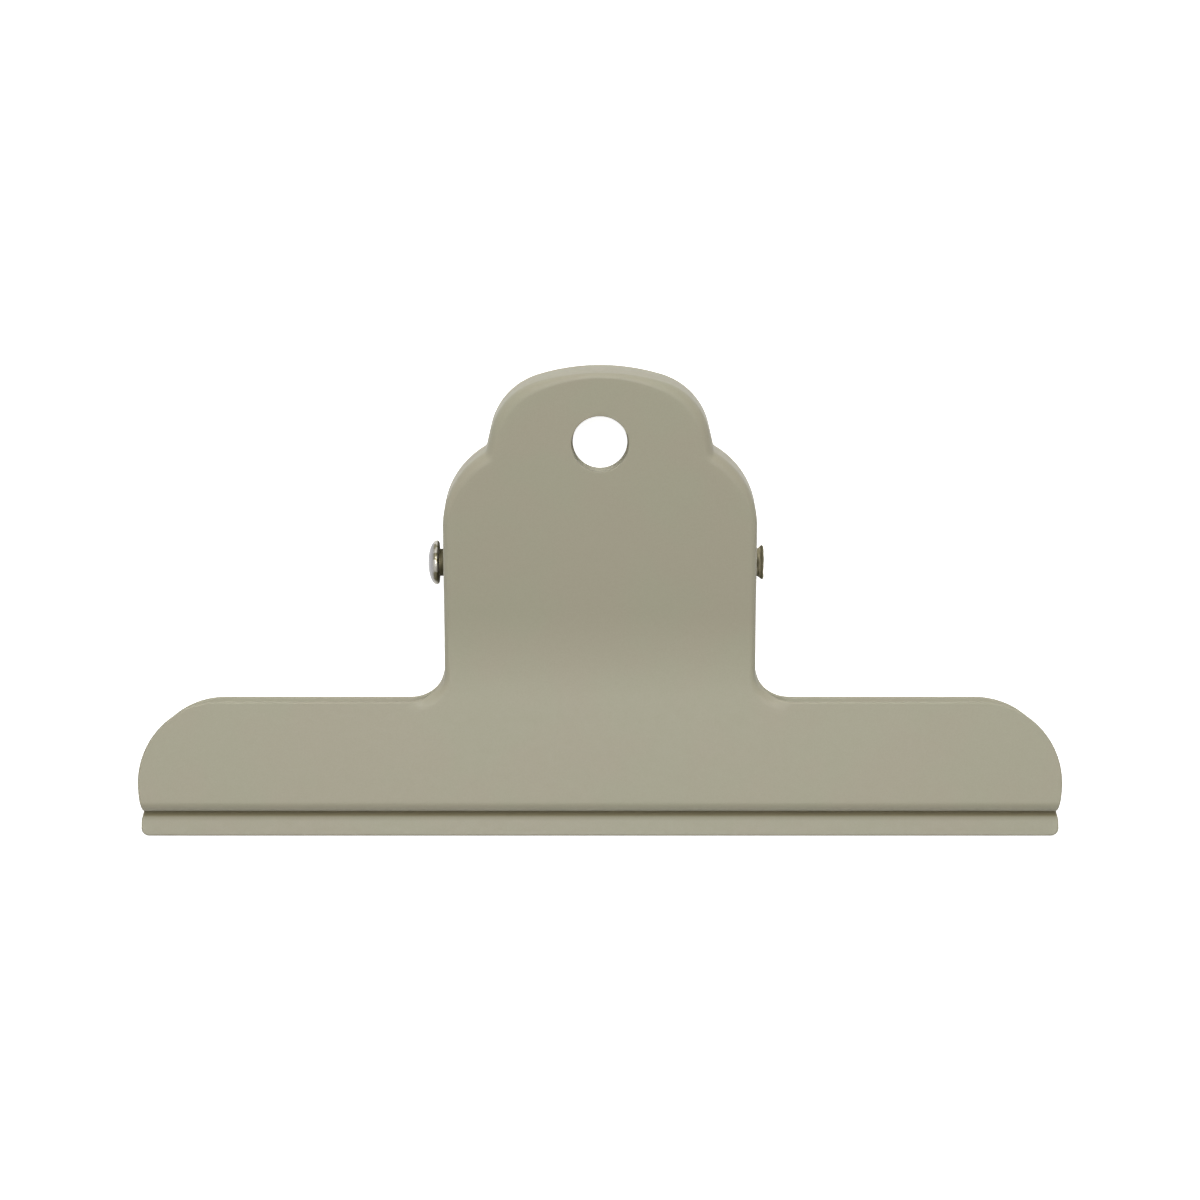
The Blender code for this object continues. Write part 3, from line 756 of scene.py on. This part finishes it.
def spring_path():
    """Centre line of the wire: a helix on X whose ends run on as straight legs."""
    reach = PIVOT_DEPTH - SHEET - WIRE_RADIUS - LEG_CLEARANCE
    lean = (TILT + math.asin(reach / math.hypot(COIL_RADIUS, LEG_LENGTH))
            - math.atan2(COIL_RADIUS, LEG_LENGTH))
    first = math.pi / 2.0 + lean
    turn = 2.0 * math.pi * WHOLE_TURNS + math.pi - 2.0 * lean
    half_width = COIL_PITCH * turn / (4.0 * math.pi)
    share = np.linspace(0.0, 1.0, round(turn / (2.0 * math.pi) * TURN_STEPS) + 1)
    angles = first + turn * share
    coil = np.stack((half_width * (1.0 - 2.0 * share), COIL_RADIUS * np.cos(angles),
                     COIL_RADIUS * np.sin(angles)), axis=1)
    along = np.array((0.0, math.cos(lean), math.sin(lean)))
    out = np.linspace(LEG_LENGTH, 0.0, LEG_STEPS + 1)[:-1, None]
    front_leg = coil[0] + out * along
    rear_leg = coil[-1] + out[::-1] * along * (1.0, 1.0, -1.0)
    return np.concatenate((front_leg, coil, rear_leg)), half_width


def wire(path, material, pivot):
    """Round wire along a path: rings square to it, drawn in to a cut end at each tip."""
    way = np.gradient(path, axis=0)
    way /= np.linalg.norm(way, axis=1)[:, None]
    chamfer = WIRE_CHAMFER * way
    line = np.concatenate((path[[0, 0]], path[:1] + chamfer[0], path[1:-1],
                           path[-1:] - chamfer[-1], path[[-1, -1]]))
    way = np.concatenate((way[[0, 0, 0]], way[1:-1], way[[-1, -1, -1]]))
    tip = np.array((0.0, WIRE_RADIUS - WIRE_CHAMFER))
    radius = np.concatenate((tip, np.full(len(line) - 4, WIRE_RADIUS), tip[::-1]))
    across = np.array((1.0, 0.0, 0.0)) - way[:, :1] * way
    across /= np.linalg.norm(across, axis=1)[:, None]
    upward = np.cross(way, across)
    around = np.linspace(0.0, 2.0 * np.pi, WIRE_RING_STEPS + 1)[:, None]
    ring = np.cos(around) * across[:, None, :] + np.sin(around) * upward[:, None, :]
    grid = line[:, None, :] + radius[:, None, None] * ring
    mesh = surface_mesh("torsion_spring_finished", [laid_down(grid, pivot)])
    mesh.set_sharp_from_angle(angle=math.radians(WIRE_SHARP))
    return show("torsion_spring_finished", mesh, material)


def linear(colour):
    """Linear red, green, blue and alpha of an sRGB hex colour."""
    parts = [int(colour[i:i + 2], 16) / 255.0 for i in (1, 3, 5)]
    parts = [c / 12.92 if c <= 0.04045 else ((c + 0.055) / 1.055) ** 2.4 for c in parts]
    return (*parts, 1.0)


def add(tree, kind, inputs, **settings):
    """A node with its settings, whose inputs are given values or linked to outputs."""
    node = tree.nodes.new(kind)
    for name, value in settings.items():
        setattr(node, name, value)
    for name, value in inputs.items():
        if isinstance(value, bpy.types.NodeSocket):
            tree.links.new(value, node.inputs[name])
        else:
            node.inputs[name].default_value = value
    return node


def new_material(name):
    """An empty node material, its tree and its Principled shader."""
    material = bpy.data.materials.new(name)
    material.use_nodes = True
    tree = material.node_tree
    return material, tree, tree.nodes["Principled BSDF"]


def per(length):
    """Texture scale that gives one feature to each length in millimetres."""
    return 1.0 / (length * MM)


def crease_shade(tree, place, pivot):
    """1 on the skin in the crease, where shade is painted, and 0 away from it, by the distance from
    a line along it.

    The place is turned back round the pivot, and its absolute values lay the rear
    plate's crease on the front plate's.
    """
    unturned = add(tree, "ShaderNodeMapping",
                   {"Vector": place, "Location": pivot, "Rotation": (REST_TURN, 0.0, 0.0)},
                   vector_type="TEXTURE")
    either_side = add(tree, "ShaderNodeVectorMath", {0: unturned.outputs[0]},
                      operation="ABSOLUTE")
    beside = add(tree, "ShaderNodeVectorMath", {0: either_side.outputs[0], 1: (0.0, 1.0, 1.0)},
                 operation="MULTIPLY")
    _, u, w = formed(0.0, SLOPE_S - CREASE_RADIUS / 2.0, -SHADE_STAND_OFF)
    middle = (0.0, (PIVOT_HEIGHT - u) * MM, w * MM)
    away = add(tree, "ShaderNodeVectorMath", {0: beside.outputs[0], 1: middle},
               operation="DISTANCE")
    shading = add(tree, "ShaderNodeMapRange",
               {0: away.outputs["Value"], 1: SHADE_GONE * MM, 2: SHADE_FULL * MM},
               interpolation_type="SMOOTHSTEP")
    return shading.outputs[0]


def stoved_enamel(pivot):
    """Stoved enamel, sprayed on pressed sheet steel.

    A satin grey-green that drifts very slowly to a warmer grey where the coat lies
    thicker, with a fine orange peel in its gloss, and with painted shade in the
    crease that makes it darker and more olive there.
    """
    material, tree, shader = new_material("stoved_enamel")
    place = add(tree, "ShaderNodeTexCoord", {}).outputs["Object"]
    drift, peel, grain = (
        add(tree, "ShaderNodeTexNoise",
            {"Vector": place, "Scale": per(feature), "Detail": detail}).outputs["Fac"]
        for feature, detail in ((ENAMEL_DRIFT, 2.0), (ORANGE_PEEL, 3.0), (ENAMEL_GRAIN, 2.0)))
    shades = add(tree, "ShaderNodeMapRange", {0: drift, 1: SHADES_SPAN[0], 2: SHADES_SPAN[1]})
    coat = add(tree, "ShaderNodeMix",
               {0: shades.outputs[0], 6: linear(ENAMEL_WARM), 7: linear(ENAMEL_GREEN)},
               data_type="RGBA")
    # Painted shade: the coat darkened to a deeper olive along the crease
    shaded_coat = add(tree, "ShaderNodeMix",
                 {0: crease_shade(tree, place, pivot), 6: coat.outputs[2], 7: linear(CREASE_SHADE_COLOUR)},
                 data_type="RGBA")
    tone, roughness = (
        add(tree, "ShaderNodeMapRange",
            {0: value, 1: NEARLY_ALL[0], 2: NEARLY_ALL[1], 3: low, 4: high}).outputs[0]
        for value, (low, high) in ((grain, GRAIN_TONES), (peel, ENAMEL_ROUGHNESS)))
    colour = add(tree, "ShaderNodeMix", {0: 1.0, 6: shaded_coat.outputs[2], 7: tone},
                 data_type="RGBA", blend_type="MULTIPLY")
    bump = add(tree, "ShaderNodeBump",
               {"Height": peel, "Strength": PEEL_SHARE, "Distance": FINISH_RELIEF * MM})
    tree.links.new(colour.outputs[2], shader.inputs["Base Color"])
    tree.links.new(roughness, shader.inputs["Roughness"])
    tree.links.new(bump.outputs[0], shader.inputs["Normal"])
    shader.inputs["IOR"].default_value = 1.5
    return material


def turned_nickel():
    """Nickel plate on a turned rivet, with painted reflection and shade in its colour.

    A dull grey mirror on the head's crown, with patches of painted highlight and brown
    on its rim, brown streaks and a painted dark reflection on the shank that passes to
    bronze on the flared end, and painted brown shade on its mouth, with fine lines
    round the X axis.
    """
    material, tree, shader = new_material("turned_nickel_plate")
    place = add(tree, "ShaderNodeTexCoord", {}).outputs["Object"]
    along = add(tree, "ShaderNodeSeparateXYZ", {0: place}).outputs["X"]
    rim, past_head, far_end, mouth = (
        add(tree, "ShaderNodeMapRange", {0: along, 1: first * MM, 2: last * MM}).outputs[0]
        for first, last in (CROWN_TO_RIM, RIM_TO_SHANK, (0.0, FLARE_X), FLARE_TO_MOUTH))
    turned = add(tree, "ShaderNodeMapping", {"Vector": place, "Scale": TURNED_SQUEEZE}).outputs[0]
    lines, glint_noise = (
        add(tree, "ShaderNodeTexNoise",
            {"Vector": vector, "Scale": per(feature), "Detail": detail}).outputs["Fac"]
        for vector, feature, detail in ((turned, TURNING_LINES, 3.0), (place, RIM_GLINT_PATCHES, 4.0)))
    streaked, glints = (
        add(tree, "ShaderNodeMapRange", {0: value, 1: first, 2: last}).outputs[0]
        for value, (first, last) in ((lines, STREAKS_SPAN), (glint_noise, GLINT_SPAN)))

    brown = linear(NICKEL_WEAR_AND_SHADE)
    # Painted highlight in patches on the rim, between brown ones
    rim_colour = add(tree, "ShaderNodeMix", {0: glints, 6: linear(NICKEL_PAINTED_GLINT), 7: brown},
                     data_type="RGBA")
    head = add(tree, "ShaderNodeMix", {0: rim, 6: linear(NICKEL_GREY), 7: rim_colour.outputs[2]},
               data_type="RGBA")
    # Painted dark reflection on the shank by the head, passing to bronze on the flared end
    dark_to_bronze = add(tree, "ShaderNodeMix",
                 {0: far_end, 6: linear(NICKEL_PAINTED_DARK), 7: linear(NICKEL_BRONZE)},
                 data_type="RGBA")
    shank = add(tree, "ShaderNodeMix", {0: streaked, 6: brown, 7: dark_to_bronze.outputs[2]},
                data_type="RGBA")
    # Painted shade: brown over the tube's mouth, which dulls the highlight on its rim
    tube = add(tree, "ShaderNodeMix", {0: mouth, 6: shank.outputs[2], 7: brown},
               data_type="RGBA")
    colour = add(tree, "ShaderNodeMix", {0: past_head, 6: head.outputs[2], 7: tube.outputs[2]},
                 data_type="RGBA")
    least = add(tree, "ShaderNodeMapRange", {0: past_head, 3: HEAD_ROUGHNESS, 4: SHANK_ROUGHNESS})
    roughness = add(tree, "ShaderNodeMath", {0: lines, 1: LINE_ROUGHNESS, 2: least.outputs[0]},
                    operation="MULTIPLY_ADD")
    bump = add(tree, "ShaderNodeBump",
               {"Height": lines, "Strength": LINE_SHARE, "Distance": FINISH_RELIEF * MM})
    tree.links.new(colour.outputs[2], shader.inputs["Base Color"])
    tree.links.new(roughness.outputs[0], shader.inputs["Roughness"])
    tree.links.new(bump.outputs[0], shader.inputs["Normal"])
    shader.inputs["Metallic"].default_value = 1.0
    return material


def drawn_nickel_wire():
    """Nickel plate on drawn spring wire.

    A grey metal, softly mirror-like, with fine lines from the die and small dull
    patches where the plating is thin.
    """
    material, tree, shader = new_material("drawn_nickel_wire")
    place = add(tree, "ShaderNodeTexCoord", {}).outputs["Object"]
    drawn = add(tree, "ShaderNodeMapping", {"Vector": place, "Scale": DRAWN_SQUEEZE})
    lines = add(tree, "ShaderNodeTexNoise",
                {"Vector": drawn.outputs[0], "Scale": per(DRAWING_LINES), "Detail": 3.0})
    patches = add(tree, "ShaderNodeTexNoise",
                  {"Vector": place, "Scale": per(WORN_PATCHES), "Detail": 4.0})
    worn = add(tree, "ShaderNodeMapRange",
               {0: patches.outputs["Fac"], 1: WEAR_SPAN[0], 2: WEAR_SPAN[1]})
    colour = add(tree, "ShaderNodeMix",
                 {0: worn.outputs[0], 6: linear(NICKEL_GREY), 7: linear(NICKEL_WEAR_AND_SHADE)},
                 data_type="RGBA")
    roughness = add(tree, "ShaderNodeMapRange",
                    {0: lines.outputs["Fac"], 1: NEARLY_ALL[0], 2: NEARLY_ALL[1],
                     3: WIRE_ROUGHNESS[0], 4: WIRE_ROUGHNESS[1]})
    bump = add(tree, "ShaderNodeBump",
               {"Height": lines.outputs["Fac"], "Strength": LINE_SHARE,
                "Distance": FINISH_RELIEF * MM})
    tree.links.new(colour.outputs[2], shader.inputs["Base Color"])
    tree.links.new(roughness.outputs[0], shader.inputs["Roughness"])
    tree.links.new(bump.outputs[0], shader.inputs["Normal"])
    shader.inputs["Metallic"].default_value = 1.0
    return material


def seen_directly(tree):
    """1 where a ray from the camera, a mirror or glass meets the surface, else 0."""
    path = add(tree, "ShaderNodeLightPath", {})
    either = add(tree, "ShaderNodeMath", {0: path.outputs["Is Camera Ray"],
                                          1: path.outputs["Is Glossy Ray"]}, operation="MAXIMUM")
    return add(tree, "ShaderNodeMath", {0: either.outputs[0],
                                        1: path.outputs["Is Transmission Ray"]},
               operation="MAXIMUM").outputs[0]


def floor():
    """A white paper floor that shows white to the camera and keeps the shadow."""
    mesh = bpy.data.meshes.new("floor")
    corners = [(x * FLOOR_REACH, y * FLOOR_REACH, -FLOOR_DROP)
               for x, y in ((-1.0, -1.0), (1.0, -1.0), (1.0, 1.0), (-1.0, 1.0))]
    mesh.from_pydata(corners, [], [(0, 1, 2, 3)])
    material, tree, shader = new_material("white_paper")
    shader.inputs["Base Color"].default_value = linear(PAPER)
    shader.inputs["Roughness"].default_value = 1.0
    shader.inputs["Emission Color"].default_value = (1.0, 1.0, 1.0, 1.0)
    lit = add(tree, "ShaderNodeMath", {0: seen_directly(tree), 1: PAPER_GLOW}, operation="MULTIPLY")
    tree.links.new(lit.outputs[0], shader.inputs["Emission Strength"])
    piece = show("floor", mesh, material)


def studio(pivot):
    """The lamps, in a room that looks white to the camera and in metal but gives no light."""
    world = bpy.data.worlds.new("white_room")
    bpy.context.scene.world = world
    world.use_nodes = True
    tree = world.node_tree
    back = tree.nodes["Background"]
    back.inputs["Color"].default_value = (1.0, 1.0, 1.0, 1.0)
    tree.links.new(seen_directly(tree), back.inputs["Strength"])
    for name, place, size, watts in LAMPS:
        lamp = bpy.data.lights.new(name, "AREA")
        lamp.size = size
        lamp.energy = watts
        holder = bpy.data.objects.new(name, lamp)
        bpy.context.scene.collection.objects.link(holder)
        holder.location = place
        aim = Vector(pivot) - Vector(place)
        holder.rotation_euler = aim.to_track_quat("-Z", "Y").to_euler()


def camera(pivot):
    """The camera, square to the jaw but for a slight tilt towards the handles."""
    tilt = math.radians(CAMERA_TILT)
    height = TARGET_HEIGHT - PIVOT_HEIGHT + CAMERA_DISTANCE * math.sin(tilt)
    place = laid_down(np.array((0.0, height, CAMERA_DISTANCE * math.cos(tilt))), pivot)
    lens = bpy.data.cameras.new("camera")
    lens.lens = LENS
    lens.sensor_width = SENSOR_WIDTH
    lens.clip_start = 0.01
    holder = bpy.data.objects.new("camera", lens)
    bpy.context.scene.collection.objects.link(holder)
    holder.location = place
    holder.rotation_euler = (REST_TURN - tilt, 0.0, 0.0)
    bpy.context.scene.camera = holder


def main():
    """The dressed clamp in its studio."""
    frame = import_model()
    pivot = frame["joints"][0]["pos_m"]

    enamel = stoved_enamel(pivot)
    front = plate("front_plate_finished", 1, enamel, pivot)
    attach(front, "front_jaw")
    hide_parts("front_plate")
    rear = plate("rear_plate_finished", -1, enamel, pivot)
    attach(rear, "rear_jaw")
    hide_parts("rear_plate")

    pin = rivet(turned_nickel(), pivot)
    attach(pin, "rear_jaw")
    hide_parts("pivot_rivet")

    path, half_width = spring_path()
    spring = wire(path, drawn_nickel_wire(), pivot)
    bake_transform(spring)
    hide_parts("torsion_spring")

    floor()
    studio(pivot)
    camera(pivot)
    bpy.context.scene.view_settings.view_transform = "Standard"


main()
